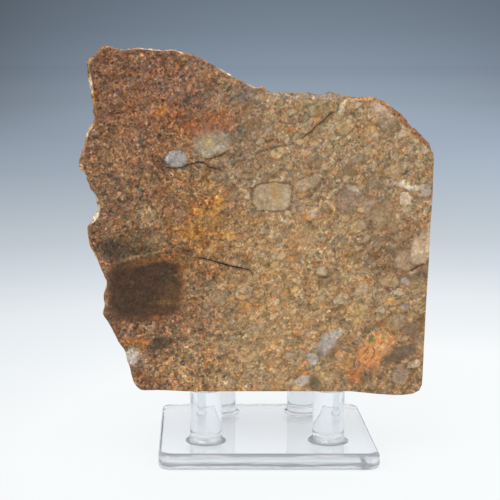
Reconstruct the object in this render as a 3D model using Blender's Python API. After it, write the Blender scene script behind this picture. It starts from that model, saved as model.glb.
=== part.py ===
"""Thick slab of metaconglomerate standing on a clear four-peg display stand.

Metres, +Z up. The origin is the centre of the stand's underside. The slab's
polished face looks along -Y, its broken rim runs over the left and the top, and
its right side, underside and back are sawn flat.
"""
import math

import bmesh
import bpy
from mathutils import Vector, noise

MM = 0.001

# Stand: a rounded plate with pegs that flare where they meet it
PLATE_WIDTH = 57.15 * MM
PLATE_DEPTH = 47.6 * MM
PLATE_HEIGHT = 4.3 * MM
PLATE_CORNER_RADIUS = 2.6 * MM
PLATE_TOP_FILLET = 1.0 * MM
PLATE_BOTTOM_FILLET = 0.4 * MM
CORNER_STEPS = 6
FILLET_STEPS = 3

PEG_RADIUS = 4.2 * MM
PEG_HEIGHT = 14.1 * MM
PEG_TOP_FILLET = 0.25 * MM
PEG_SEGMENTS = 32
FOOT_RADIUS = 5.45 * MM
FOOT_HEIGHT = 2.0 * MM
FOOT_STEPS = 5
FOOT_FIRST_ANGLE = math.radians(20)
PEG_SINK = 1.0 * MM
FRONT_PEG_X = 16.2 * MM
BACK_PEG_X = 11.6 * MM
FRONT_PEG_Y = -11.3 * MM
BACK_PEG_Y = 15.2 * MM

# Slab: stands on the peg tops, its polished face flush with the front of the front pegs
REST_GAP = 0.3 * MM
SLAB_FRONT_Y = FRONT_PEG_Y - PEG_RADIUS
SLAB_BASE_Z = PLATE_HEIGHT + PEG_HEIGHT + REST_GAP
SLAB_THICKNESS = 33.0 * MM
OUTLINE_STEP = 2.6 * MM

# Edge of the polished face, in mm, clockwise from the lower left as seen from the front:
# x, height above the slab's base, and lip, how far the broken rim stands out past the face
# edge just behind it. A lip of 0 is a sawn edge.
FACE_EDGE = (
    (-33.6, 0.7, 0.3), (-35.0, 2.6, 0.4), (-35.7, 5.6, 0.4), (-36.7, 8.8, 0.4),
    (-37.2, 10.9, 0.4), (-38.8, 13.2, 0.4), (-40.2, 16.2, 0.4), (-41.6, 18.7, 0.4),
    (-42.6, 20.4, 0.4), (-42.2, 23.0, 0.4), (-42.4, 25.0, 0.4), (-41.5, 28.4, 0.5),
    (-42.0, 30.0, 0.5), (-43.3, 33.0, 0.6), (-43.8, 35.1, 1.2), (-45.0, 38.3, 1.4),
    (-45.9, 40.6, 0.6), (-45.7, 43.1, 0.8), (-43.9, 44.9, 1.7), (-43.0, 46.5, 1.9),
    (-42.9, 48.9, 1.5), (-43.8, 51.0, 1.0), (-44.9, 53.0, 1.0), (-45.7, 55.5, 1.4),
    (-46.9, 57.5, 1.7), (-47.0, 59.5, 1.7), (-46.5, 62.7, 1.3), (-45.8, 66.5, 0.9),
    (-44.0, 69.4, 0.9), (-43.4, 72.0, 2.0), (-44.0, 76.0, 2.2), (-44.6, 80.5, 2.3),
    (-45.1, 83.7, 1.9), (-44.2, 85.2, 1.2), (-42.9, 86.9, 0.9), (-41.9, 87.7, 0.8),
    (-40.2, 88.0, 0.6), (-37.0, 87.2, 0.6), (-35.1, 87.5, 0.6), (-32.3, 87.7, 0.5),
    (-28.9, 87.3, 0.5), (-24.0, 87.2, 0.5), (-22.3, 86.5, 0.5), (-19.7, 86.3, 0.5),
    (-17.0, 84.9, 0.5), (-13.9, 83.4, 0.5), (-12.5, 82.3, 0.5), (-10.0, 80.9, 0.5),
    (-6.5, 79.1, 0.5), (-4.0, 78.0, 0.5), (-2.1, 78.1, 0.6), (-0.6, 76.2, 1.2),
    (3.5, 75.9, 1.5), (7.6, 75.9, 1.5), (11.2, 75.6, 1.3), (13.8, 75.9, 1.3),
    (18.4, 75.8, 0.9), (20.5, 75.4, 0.8), (24.4, 75.0, 1.3), (27.5, 74.0, 1.7),
    (30.2, 71.9, 1.8), (32.4, 70.0, 1.8), (34.9, 67.5, 1.9), (37.3, 65.3, 1.9),
    (39.6, 63.6, 1.3), (40.8, 62.3, 0.5), (41.1, 60.6, 0.3), (41.1, 57.6, 0.15),
    (41.1, 54.0, 0.05), (41.1, 50.3, 0.0),
    (40.8, 43.0, 0.0), (40.7, 34.4, 0.0), (40.3, 22.7, 0.0), (40.0, 5.2, 0.0),
    (39.9, 1.8, 0.0), (39.2, 0.2, 0.0), (37.4, -0.7, 0.0), (34.8, -1.0, 0.0),
    (32.1, -1.0, 0.0), (28.1, -0.7, 0.0), (21.5, 0.0, 0.0), (-21.5, 0.0, 0.0),
    (-27.3, 0.3, 0.0), (-30.2, 0.3, 0.06), (-32.4, 0.3, 0.15),
)

# Sections through the rim: share of the thickness behind the face, the share of the lip
# reached there, and how far a rough edge has worn back by then in mm. A sawn edge takes neither.
RIM_SECTIONS = (
    (0.0, 0.0, 0.0), (0.03, 0.45, 0.0), (0.08, 0.85, 0.0), (0.145, 1.0, 0.0),
    (0.23, 0.95, 0.2), (0.32, 0.85, 0.4), (0.41, 0.7, 0.6), (0.5, 0.6, 0.7),
    (0.59, 0.5, 0.7), (0.68, 0.35, 0.8), (0.77, 0.2, 1.0), (0.865, 0.1, 1.4),
    (0.95, 0.0, 2.2), (1.0, 0.0, 3.6),
)
FULL_LIP = 0.5 * MM     # lip at which an edge counts as fully rough
SLAB_MIDDLE = (-3.0 * MM, 44.0 * MM)    # x and height of the point that the rim is worn towards
LUMP_SIZE = 13.0 * MM
LUMP_HEIGHT = 2.4 * MM
LEDGE_SIZE = 21.0 * MM
LEDGE_HEIGHT = 1.3 * MM
LEDGE_SHARPNESS = 7.0
KNOB_SIZE = 7.5 * MM
KNOB_HEIGHT = 1.5 * MM
CALM_DEPTH = 3.5 * MM   # the relief starts this far behind the face
CALM_FADE = 6.5 * MM    # and grows to its full height over this depth


def new_object(name, bm, colour, roughness, transmission=0.0, ior=1.45):
    """Make an object with its own Principled material out of a bmesh."""
    mesh = bpy.data.meshes.new(name)
    bm.to_mesh(mesh)
    bm.free()
    obj = bpy.data.objects.new(name, mesh)
    bpy.context.scene.collection.objects.link(obj)
    material = bpy.data.materials.new(name)
    material.use_nodes = True
    shader = material.node_tree.nodes["Principled BSDF"]
    shader.inputs["Base Color"].default_value = (*colour, 1.0)
    shader.inputs["Roughness"].default_value = roughness
    shader.inputs["Metallic"].default_value = 0.0
    shader.inputs["Transmission Weight"].default_value = transmission
    shader.inputs["IOR"].default_value = ior
    mesh.materials.append(material)
    return obj


def rounded_rectangle(width, depth, radius):
    """Points of a rounded rectangle in X and Y, counter-clockwise seen from above."""
    points = []
    for corner, (sx, sy) in enumerate(((1, 1), (-1, 1), (-1, -1), (1, -1))):
        centre = Vector((sx * (width / 2 - radius), sy * (depth / 2 - radius)))
        for step in range(CORNER_STEPS + 1):
            angle = math.radians(90) * (corner + step / CORNER_STEPS)
            points.append(centre + radius * Vector((math.cos(angle), math.sin(angle))))
    return points


def loft(bm, rings):
    """Join closed rings of equally many points with quads, and cap both ends."""
    loops = [[bm.verts.new(point) for point in ring] for ring in rings]
    count = len(loops[0])
    for lower, upper in zip(loops, loops[1:]):
        for i in range(count):
            j = (i + 1) % count
            bm.faces.new((lower[i], lower[j], upper[j], upper[i]))
    bm.faces.new(loops[0][::-1])
    bm.faces.new(loops[-1])


def plate_mesh():
    """Rounded plate whose top edge has a larger fillet than its bottom edge."""
    levels = []
    for step in range(FILLET_STEPS + 1):
        angle = math.radians(90) * step / FILLET_STEPS
        inset = PLATE_BOTTOM_FILLET * (1 - math.sin(angle))
        levels.append((inset, PLATE_BOTTOM_FILLET * (1 - math.cos(angle))))
    for step in range(FILLET_STEPS + 1):
        angle = math.radians(90) * step / FILLET_STEPS
        inset = PLATE_TOP_FILLET * (1 - math.cos(angle))
        levels.append((inset, PLATE_HEIGHT - PLATE_TOP_FILLET * (1 - math.sin(angle))))
    rings = []
    for inset, height in levels:
        outline = rounded_rectangle(
            PLATE_WIDTH - 2 * inset, PLATE_DEPTH - 2 * inset, PLATE_CORNER_RADIUS - inset)
        rings.append([(point.x, point.y, height) for point in outline])
    bm = bmesh.new()
    loft(bm, rings)
    return bm


def peg_profile():
    """Radius and height of a peg's outside, from inside the plate up to its flat top."""
    profile = [(FOOT_RADIUS, PLATE_HEIGHT - PEG_SINK)]
    for step in range(FOOT_STEPS + 1):
        angle = FOOT_FIRST_ANGLE + (math.radians(90) - FOOT_FIRST_ANGLE) * step / FOOT_STEPS
        drop = 1 - math.sin(FOOT_FIRST_ANGLE)
        flare = (1 - math.sin(angle)) / drop
        rise = (math.cos(FOOT_FIRST_ANGLE) - math.cos(angle)) / math.cos(FOOT_FIRST_ANGLE)
        radius = PEG_RADIUS + (FOOT_RADIUS - PEG_RADIUS) * flare
        profile.append((radius, PLATE_HEIGHT + FOOT_HEIGHT * rise))
    top = PLATE_HEIGHT + PEG_HEIGHT
    profile.append((PEG_RADIUS, top - PEG_TOP_FILLET))
    profile.append((PEG_RADIUS - PEG_TOP_FILLET, top))
    return profile


def pegs_mesh():
    """All four pegs, each a turned solid of its own."""
    bm = bmesh.new()
    for x, y in ((-FRONT_PEG_X, FRONT_PEG_Y), (FRONT_PEG_X, FRONT_PEG_Y),
                 (-BACK_PEG_X, BACK_PEG_Y), (BACK_PEG_X, BACK_PEG_Y)):
        rings = []
        for radius, height in peg_profile():
            ring = []
            for step in range(PEG_SEGMENTS):
                angle = math.tau * step / PEG_SEGMENTS
                ring.append((x + radius * math.cos(angle), y + radius * math.sin(angle), height))
            rings.append(ring)
        loft(bm, rings)
    return bm


def make_stand():
    """Plate with the pegs joined into it as one moulding."""
    stand = new_object("display_stand", plate_mesh(), (0.95, 0.97, 0.98), 0.05, 1.0, 1.49)
    pegs = new_object("peg_guide", pegs_mesh(), (0.95, 0.97, 0.98), 0.05)
    pegs.hide_render = True
    pegs.display_type = "WIRE"
    union = stand.modifiers.new("pegs", "BOOLEAN")
    union.operation = "UNION"
    union.object = pegs
    return stand


def face_outline():
    """Face edge in metres as (x, height, lip): a smooth curve on the broken runs, straight on sawn ones."""
    corners = [Vector(corner) * MM for corner in FACE_EDGE]
    count = len(corners)
    points = []
    for i, start in enumerate(corners):
        before, end, after = corners[i - 1], corners[(i + 1) % count], corners[(i + 2) % count]
        points.append(start)
        pieces = max(1, round((end - start).xy.length / OUTLINE_STEP))
        if not (start.z or end.z):
            continue
        for step in range(1, pieces):
            t = step / pieces
            bend = (2 * start + (end - before) * t
                    + (2 * before - 5 * start + 4 * end - after) * t ** 2
                    + (3 * start - before - 3 * end + after) * t ** 3) / 2
            points.append(Vector((bend.x, bend.y, start.z + (end.z - start.z) * t)))
    return points


def relief(place, depth):
    """How far the broken rim is worn back at a place: lumps and ledges, less the knobs of pebbles."""
    calm = min(1.0, max(0.0, (depth - CALM_DEPTH) / CALM_FADE))
    lump = 0.5 - 0.5 * noise.noise(place / LUMP_SIZE)
    ledge = 0.5 + 0.5 * math.tanh(LEDGE_SHARPNESS * noise.noise(place / LEDGE_SIZE))
    distance = noise.voronoi(place / KNOB_SIZE)[0][0]
    knob = max(0.0, 1.0 - 2.0 * distance)
    return calm * (LUMP_HEIGHT * lump + LEDGE_HEIGHT * ledge - KNOB_HEIGHT * knob)


def slab_mesh():
    """Slab lofted from the polished face to the sawn back, its rim moved along rays from the middle."""
    outline = face_outline()
    rings = []
    for behind, share, worn in RIM_SECTIONS:
        depth = behind * SLAB_THICKNESS
        ring = []
        for x, height, lip in outline:
            ray = Vector((x - SLAB_MIDDLE[0], 0.0, height - SLAB_MIDDLE[1])).normalized()
            place = Vector((x, SLAB_FRONT_Y + depth, SLAB_BASE_Z + height))
            rough = min(1.0, lip / FULL_LIP)
            ring.append(place + ray * (share * lip - rough * (worn * MM + relief(place, depth))))
        rings.append(ring)
    bm = bmesh.new()
    loft(bm, rings)
    bmesh.ops.recalc_face_normals(bm, faces=bm.faces)
    return bm


def make_slab():
    """The stone, one solid."""
    return new_object("metaconglomerate_slab", slab_mesh(), (0.30, 0.17, 0.08), 0.35)


def main():
    for obj in list(bpy.data.objects):
        bpy.data.objects.remove(obj, do_unlink=True)
    make_stand()
    make_slab()


main()
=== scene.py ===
"""Polished metaconglomerate slab on its clear four-peg display stand, dressed for rendering.

Metres, +Z up, with the origin at the centre of the stand's underside and the polished
face looking along -Y. Each operator makes one piece in place; the stage operator makes
the pale floor, the soft light and the camera.
"""
import math

import bmesh
import bpy
from bpy.props import (
    FloatProperty, FloatVectorProperty, IntProperty, PointerProperty)
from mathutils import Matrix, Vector, noise
from mathutils.geometry import delaunay_2d_cdt


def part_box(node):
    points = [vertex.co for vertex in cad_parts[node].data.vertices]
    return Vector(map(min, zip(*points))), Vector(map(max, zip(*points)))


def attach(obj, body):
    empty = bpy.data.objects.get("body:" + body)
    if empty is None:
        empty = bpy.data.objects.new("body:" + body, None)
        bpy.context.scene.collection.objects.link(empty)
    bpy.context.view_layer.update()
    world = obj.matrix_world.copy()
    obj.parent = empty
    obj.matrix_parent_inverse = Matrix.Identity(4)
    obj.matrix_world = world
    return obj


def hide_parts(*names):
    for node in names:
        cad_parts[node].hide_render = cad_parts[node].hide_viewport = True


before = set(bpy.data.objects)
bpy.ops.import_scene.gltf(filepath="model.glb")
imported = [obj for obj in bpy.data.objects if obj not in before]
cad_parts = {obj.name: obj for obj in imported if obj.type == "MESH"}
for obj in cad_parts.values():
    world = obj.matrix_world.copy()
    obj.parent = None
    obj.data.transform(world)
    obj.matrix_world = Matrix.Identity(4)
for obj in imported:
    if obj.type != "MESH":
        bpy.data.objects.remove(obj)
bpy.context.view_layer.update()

bl_info = {
    "name": "Metaconglomerate slab on a peg stand",
    "version": (1, 0, 0),
    "blender": (4, 5, 0),
    "location": "View3D > Sidebar > Slab",
    "description": "Builds a polished slab of metaconglomerate on a clear display stand",
    "category": "Add Mesh",
}

MM = 0.001
SLAB_NODE = "metaconglomerate_slab"
STAND_NODE = "display_stand"
SLAB_LOW, SLAB_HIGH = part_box(SLAB_NODE)
STAND_LOW, STAND_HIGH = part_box(STAND_NODE)

# Edge of the polished face in mm, clockwise from the lower left as seen from the front:
# x, height above the slab's base, and lip, how far the broken rim stands out past the
# face edge just behind it. A lip of 0 is a sawn edge.
FACE_EDGE = (
    (-33.6, 0.7, 0.3), (-35.0, 2.6, 0.4), (-35.7, 5.6, 0.4), (-36.7, 8.8, 0.4),
    (-37.2, 10.9, 0.4), (-38.8, 13.2, 0.4), (-40.2, 16.2, 0.4), (-41.6, 18.7, 0.4),
    (-42.6, 20.4, 0.4), (-42.2, 23.0, 0.4), (-42.4, 25.0, 0.4), (-41.5, 28.4, 0.5),
    (-42.0, 30.0, 0.5), (-43.3, 33.0, 0.6), (-43.8, 35.1, 1.2), (-45.0, 38.3, 1.4),
    (-45.9, 40.6, 0.6), (-45.7, 43.1, 0.8), (-43.9, 44.9, 1.7), (-43.0, 46.5, 1.9),
    (-42.9, 48.9, 1.5), (-43.8, 51.0, 1.0), (-44.9, 53.0, 1.0), (-45.7, 55.5, 1.4),
    (-46.9, 57.5, 1.7), (-47.0, 59.5, 1.7), (-46.5, 62.7, 1.3), (-45.8, 66.5, 0.9),
    (-44.0, 69.4, 0.9), (-43.4, 72.0, 2.0), (-44.0, 76.0, 2.2), (-44.6, 80.5, 2.3),
    (-45.1, 83.7, 1.9), (-44.2, 85.2, 1.2), (-42.9, 86.9, 0.9), (-41.9, 87.7, 0.8),
    (-40.2, 88.0, 0.6), (-37.0, 87.2, 0.6), (-35.1, 87.5, 0.6), (-32.3, 87.7, 0.5),
    (-28.9, 87.3, 0.5), (-24.0, 87.2, 0.5), (-22.3, 86.5, 0.5), (-19.7, 86.3, 0.5),
    (-17.0, 84.9, 0.5), (-13.9, 83.4, 0.5), (-12.5, 82.3, 0.5), (-10.0, 80.9, 0.5),
    (-6.5, 79.1, 0.5), (-4.0, 78.0, 0.5), (-2.1, 78.0, 0.7), (-0.6, 75.3, 2.1),
    (3.5, 74.9, 2.7), (7.6, 74.9, 2.7), (11.2, 74.7, 2.4), (13.8, 74.9, 2.5),
    (18.4, 75.0, 1.8), (20.5, 74.8, 1.5), (24.4, 75.0, 1.3), (27.3, 73.5, 2.3),
    (29.8, 71.4, 2.4), (32.0, 69.5, 2.5), (34.4, 67.0, 2.6), (36.8, 64.8, 2.6),
    (39.2, 63.1, 1.9), (40.6, 61.9, 0.8), (41.1, 60.6, 0.3), (41.1, 57.6, 0.15),
    (41.1, 54.0, 0.05), (41.1, 50.3, 0.0),
    (40.8, 43.0, 0.0), (40.7, 34.4, 0.0), (40.3, 22.7, 0.0), (40.0, 5.2, 0.0),
    (39.9, 1.8, 0.0), (39.2, 0.2, 0.0), (37.4, -0.7, 0.0), (34.8, -1.0, 0.0),
    (32.1, -1.0, 0.0), (28.1, -0.7, 0.0), (21.5, 0.0, 0.0), (-21.5, 0.0, 0.0),
    (-27.3, 0.3, 0.0), (-30.2, 0.3, 0.06), (-32.4, 0.3, 0.15),
)

# Sections through the rim: share of the thickness behind the face, the share of the lip
# reached there, and how far a rough edge has worn back by then in mm.
RIM_SECTIONS = (
    (0.0, 0.0, 0.0), (0.03, 0.45, 0.0), (0.08, 0.85, 0.0), (0.145, 1.0, 0.0),
    (0.23, 0.95, 0.2), (0.32, 0.85, 0.4), (0.41, 0.7, 0.6), (0.5, 0.6, 0.7),
    (0.59, 0.5, 0.7), (0.68, 0.35, 0.8), (0.77, 0.2, 1.0), (0.865, 0.1, 1.4),
    (0.95, 0.0, 2.2), (1.0, 0.0, 3.6),
)
FULL_LIP = 0.5 * MM
SLAB_MIDDLE = (-3.0 * MM, 44.0 * MM)
LUMP_SIZE = 13.0 * MM
LUMP_HEIGHT = 2.4 * MM
LEDGE_SIZE = 21.0 * MM
LEDGE_HEIGHT = 1.3 * MM
LEDGE_SHARPNESS = 7.0
KNOB_SIZE = 7.5 * MM
KNOB_HEIGHT = 1.5 * MM
CALM_DEPTH = 3.5 * MM
CALM_FADE = 6.5 * MM

# Cracks in the polished face: width in mm, depth in mm, darkness, and the points they run
# through as x and height above the base in mm
CRACKS = (
    (0.34, 0.22, 0.55, ((-28.5, 40.8), (-26.5, 39.6), (-23.4, 37.8), (-20.9, 36.7),
                        (-19.6, 35.9))),
    (0.46, 0.40, 1.0, ((-19.2, 35.4), (-15.5, 34.7), (-12.9, 33.9), (-10.1, 33.1),
                       (-6.6, 32.4), (-4.9, 31.8), (-4.2, 30.2))),
    (0.34, 0.28, 0.75, ((17.0, 75.0), (16.5, 72.5), (15.2, 72.0), (13.2, 70.2),
                        (11.5, 68.9), (10.0, 67.2), (8.5, 66.2), (7.3, 65.2))),
    (0.28, 0.12, 0.45, ((7.0, 64.8), (4.3, 64.0), (-0.2, 63.0), (-2.7, 62.2),
                        (-5.2, 61.5), (-7.7, 60.4))),
    (0.42, 0.32, 0.9, ((-27.7, 58.7), (-25.4, 58.2), (-22.9, 58.2), (-20.3, 59.2),
                       (-18.1, 59.6), (-16.8, 59.4), (-15.6, 58.4), (-13.5, 57.9),
                       (-12.0, 57.4))),
    (0.36, 0.24, 0.8, ((-10.0, 63.0), (-11.2, 62.2), (-12.6, 61.4), (-14.6, 60.7),
                       (-15.8, 60.5), (-16.8, 60.3))),
    (0.38, 0.26, 0.8, ((35.6, 31.6), (38.4, 33.1), (40.0, 33.9))),
    (0.28, 0.14, 0.6, ((26.4, 12.2), (27.3, 11.0), (27.1, 9.4), (26.2, 8.2))),
    (0.26, 0.12, 0.5, ((28.9, 12.0), (27.5, 11.2))),
)
CRACK_STEP = 0.6
CRACK_HALO = 0.8
SHOULDER = 0.6      # the crack attribute at the shoulders of a groove; it is 1 in the middle


def srgb(red, green, blue):
    """A colour given in display values from 0 to 255, as the linear values a shader takes."""
    channels = []
    for value in (red, green, blue):
        share = value / 255
        low = share <= 0.04045
        channels.append(share / 12.92 if low else ((share + 0.055) / 1.055) ** 2.4)
    return tuple(channels)


def rgba(colour):
    return (*tuple(colour)[:3], 1.0)


def length(name, description, value):
    return FloatProperty(
        name=name, description=description, default=value, unit="LENGTH", subtype="DISTANCE",
        precision=5)


def tint(name, description, red, green, blue):
    return FloatVectorProperty(
        name=name, description=description, default=srgb(red, green, blue), subtype="COLOR",
        min=0.0, max=1.0)


class StandSettings(bpy.types.PropertyGroup):
    """Sizes and colour of the clear peg stand."""
    plate_width: length("Plate width", "Side to side size of the plate", 57.15 * MM)
    plate_depth: length("Plate depth", "Front to back size of the plate", 47.6 * MM)
    plate_height: length("Plate height", "Thickness of the plate", 4.3 * MM)
    corner_radius: length("Corner radius", "Radius of the plate's upright corners", 3.3 * MM)
    top_fillet: length("Top fillet", "Rounding of the plate's top edge", 1.3 * MM)
    bottom_fillet: length("Bottom fillet", "Rounding of the plate's bottom edge", 1.1 * MM)
    peg_radius: length("Peg radius", "Radius of a peg's straight part", 4.2 * MM)
    peg_height: length("Peg height", "Height of the pegs above the plate", 14.1 * MM)
    peg_fillet: length("Peg fillet", "Rounding of a peg's top edge", 0.25 * MM)
    foot_radius: length("Foot radius", "Radius where a peg flares into the plate", 5.45 * MM)
    foot_height: length("Foot height", "Height of the flare", 2.0 * MM)
    front_peg_x: length("Front peg x", "Front pegs, from the middle", 16.2 * MM)
    back_peg_x: length("Back peg x", "Back pegs, from the middle", 11.6 * MM)
    front_peg_y: length("Front peg y", "Front pegs, in front of the origin", -11.3 * MM)
    back_peg_y: length("Back peg y", "Back pegs, behind the origin", 15.2 * MM)
    peg_sides: IntProperty(
        name="Peg sides", description="Sides of a peg's circle", default=72, min=24)
    plastic: tint("Plastic", "Colour that the clear plastic gives to light", 249, 252, 255)
    refraction: FloatProperty(
        name="Refraction", description="Index of refraction of acrylic", default=1.49)


class SlabSettings(bpy.types.PropertyGroup):
    """Sizes and colours of the stone."""
    front_y: length("Face y", "Where the polished face stands", SLAB_LOW.y)
    base_z: length("Base height", "Height of the slab's sawn underside", 18.7 * MM)
    thickness: length("Thickness", "Thickness of the slab", 33.0 * MM)
    edge_step: length("Edge step", "Spacing of points along the edge of the face", 0.55 * MM)
    rim_step: length("Rim step", "Spacing of points across the rim", 0.55 * MM)
    face_step: length("Face step", "Spacing of points inside the face", 1.7 * MM)
    bevel: length("Edge wear", "Width of the worn edge round the face", 0.16 * MM)
    tan: tint("Tan matrix", "Main colour of the matrix", 168, 143, 113)
    rust: tint("Rust brown", "Matrix of the left side", 132, 101, 77)
    redbrown: tint("Red brown", "Matrix of the upper left corner", 126, 90, 68)
    ochre: tint("Ochre", "Iron-stained zone left of the middle", 164, 116, 58)
    dark: tint("Dark brown", "Dark clast at the left edge", 62, 46, 33)
    crack: tint("Crack", "Colour of the open cracks", 40, 34, 28)
    quartz: tint("Quartz", "Clasts of blue-grey quartz", 168, 166, 162)
    cream: tint("Cream", "Weathered feldspar on the broken rim", 214, 196, 160)


class StageSettings(bpy.types.PropertyGroup):
    """Floor, light and camera."""
    floor_radius: length("Floor radius", "Radius of the pale floor", 14.0)
    floor_near: tint("Floor", "Colour of the floor round the object", 249, 250, 250)
    sky_far: tint("Far colour", "Colour of the room at the horizon", 119, 131, 145)
    sky_upper: tint("Upper colour", "Colour of the room a little higher", 96, 107, 119)
    floor_glow: FloatProperty(
        name="Floor glow", description="Light given off by the lit table", default=1.76)
    dome: FloatProperty(name="Dome", description="Strength of the overhead light", default=1.0)
    key_power: FloatProperty(
        name="Key light", description="Power of the soft light at the front left", default=6.0,
        unit="POWER")
    lens: FloatProperty(name="Lens", description="Focal length in mm", default=86.5)
    camera_place: FloatVectorProperty(
        name="Camera place", description="Where the camera stands",
        default=(-0.01953, -0.31816, 0.10353), subtype="TRANSLATION", unit="LENGTH")
    camera_pitch: FloatProperty(
        name="Camera pitch", description="How far the camera looks down",
        default=math.radians(8.94), subtype="ANGLE", unit="ROTATION")
    camera_shift: FloatProperty(
        name="Camera shift", description="Sideways shift of the lens", default=0.1135)


class Socket:
    """An output of a material's node, so that maths on it reads as Python."""

    def __init__(self, sheet, socket):
        self.sheet = sheet
        self.socket = socket

    def __add__(self, other):
        return self.sheet.maths("ADD", self, other)

    def __radd__(self, other):
        return self.sheet.maths("ADD", other, self)

    def __sub__(self, other):
        return self.sheet.maths("SUBTRACT", self, other)

    def __rsub__(self, other):
        return self.sheet.maths("SUBTRACT", other, self)

    def __mul__(self, other):
        return self.sheet.maths("MULTIPLY", self, other)

    def __rmul__(self, other):
        return self.sheet.maths("MULTIPLY", other, self)

    def __truediv__(self, other):
        return self.sheet.maths("DIVIDE", self, other)


class NodeSheet:
    """A material's or world's node tree, filled by plain calls."""

    def __init__(self, owner):
        owner.use_nodes = True
        self.tree = owner.node_tree
        self.tree.nodes.clear()
        self.turns = {}

    def node(self, kind, settings=None, values=None, output=0):
        """Add a node: settings first, then the values or links of its inputs. Gives one output."""
        made = self.tree.nodes.new(kind)
        for name, value in (settings or {}).items():
            if name == "stops":
                self.set_stops(made.color_ramp, value)
            elif name == "ramp_interpolation":
                made.color_ramp.interpolation = value
            else:
                setattr(made, name, value)
        for name, value in (values or {}).items():
            if value is None:
                continue
            if isinstance(value, Socket):
                self.tree.links.new(value.socket, made.inputs[name])
            else:
                made.inputs[name].default_value = value
        if not made.outputs:
            return made
        return Socket(self, made.outputs[output])

    @staticmethod
    def set_stops(ramp, stops):
        while len(ramp.elements) > 1:
            ramp.elements.remove(ramp.elements[-1])
        ramp.elements[0].position = stops[0][0]
        ramp.elements[0].color = rgba(stops[0][1])
        for position, colour in stops[1:]:
            ramp.elements.new(position).color = rgba(colour)

    def maths(self, operation, *values, clamp=False):
        return self.node(
            "ShaderNodeMath", {"operation": operation, "use_clamp": clamp},
            dict(enumerate(values)))

    def vector(self, operation, *values):
        return self.node(
            "ShaderNodeVectorMath", {"operation": operation}, dict(enumerate(values)),
            "Value" if operation in ("LENGTH", "DISTANCE", "DOT_PRODUCT") else "Vector")

    def scaled(self, vector, amount):
        return self.node(
            "ShaderNodeVectorMath", {"operation": "SCALE"}, {0: vector, "Scale": amount})

    def mix(self, factor, first, second, blend="MIX"):
        """Mix two colours."""
        return self.node(
            "ShaderNodeMix", {"data_type": "RGBA", "blend_type": blend},
            {"Factor": factor, 6: first, 7: second}, 2)

    def step(self, value, low, high, to_low=0.0, to_high=1.0):
        """Smooth step of a value from low to high, which may run downwards."""
        return self.node(
            "ShaderNodeMapRange", {"interpolation_type": "SMOOTHSTEP"},
            {"Value": value, "From Min": low, "From Max": high, "To Min": to_low,
             "To Max": to_high})

    def noise(self, vector, size, detail=2.0, roughness=0.5, output="Fac"):
        return self.node(
            "ShaderNodeTexNoise", {"noise_dimensions": "3D"},
            {"Vector": vector, "Scale": 1.0 / size, "Detail": detail, "Roughness": roughness},
            output)

    def cells(self, vector, size, randomness=1.0, feature="F1", output="Color"):
        return self.node(
            "ShaderNodeTexVoronoi", {"feature": feature, "voronoi_dimensions": "3D"},
            {"Vector": vector, "Scale": 1.0 / size, "Randomness": randomness}, output)

    def ramp(self, value, stops, interpolation="LINEAR"):
        return self.node(
            "ShaderNodeValToRGB", {"stops": stops, "ramp_interpolation": interpolation},
            {"Fac": value})

    def parts(self, vector):
        """The three components of a vector, or of a colour."""
        colour = vector.socket.type == "RGBA"
        split = self.tree.nodes.new("ShaderNodeSeparateColor" if colour else "ShaderNodeSeparateXYZ")
        self.tree.links.new(vector.socket, split.inputs[0])
        return [Socket(self, output) for output in split.outputs]

    def warped(self, vector, size, amount, detail=1.0):
        """The vector moved about by noise, by up to about half the amount each way."""
        drift = self.noise(vector, size, detail, output="Color")
        centred = self.vector("SUBTRACT", drift, (0.5, 0.5, 0.5))
        return self.vector("MULTIPLY_ADD", centred, (amount, amount, amount), vector)

    def turned(self, vector, turn):
        """The vector in axes turned anticlockwise as seen from the front, made once for each turn."""
        key = (vector.socket.node.name, turn)
        if turn and key not in self.turns:
            x, y, z = self.parts(vector)
            c, s = math.cos(math.radians(turn)), math.sin(math.radians(turn))
            self.turns[key] = self.node(
                "ShaderNodeCombineXYZ", None, {0: x * c + z * s, 1: y, 2: z * c - x * s})
        return self.turns[key] if turn else vector

    def reach(self, place, centre, half, turn=0.0, deep=None, square=False):
        """0 at the middle of an ellipsoid at (x, height) in mm, 1 at its surface and more outside."""
        deep = deep or 0.8 * max(half)
        c, s = math.cos(math.radians(turn)), math.sin(math.radians(turn))
        x, z = centre[0] * c + centre[1] * s, centre[1] * c - centre[0] * s
        local = self.vector(
            "MULTIPLY_ADD", self.turned(place, turn), (1 / half[0], 1 / deep, 1 / half[1]),
            (-x / half[0], 0.0, -z / half[1]))
        if square:
            local = self.vector("MULTIPLY", local, local)
        return self.vector("LENGTH", local)


class Overlay:
    """Stains laid one over another, and how much of what lies under them still shows."""

    def __init__(self, sheet):
        self.sheet = sheet
        self.colour = (0.0, 0.0, 0.0, 1.0)
        self.clear = 1.0

    def add(self, reach, soft, strength, colour, low=None, high=None):
        inner, outer = low or 1.0 - soft, high or 1.0 + soft
        left = self.sheet.step(reach, inner, outer, 1.0 - strength, 1.0)
        self.colour = self.sheet.mix(left, colour, self.colour)
        self.clear = left * self.clear

    def over(self, under):
        both = self.sheet.mix(1.0, under, self.colour, "ADD")
        return self.sheet.mix(self.clear, self.colour, both)


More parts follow.
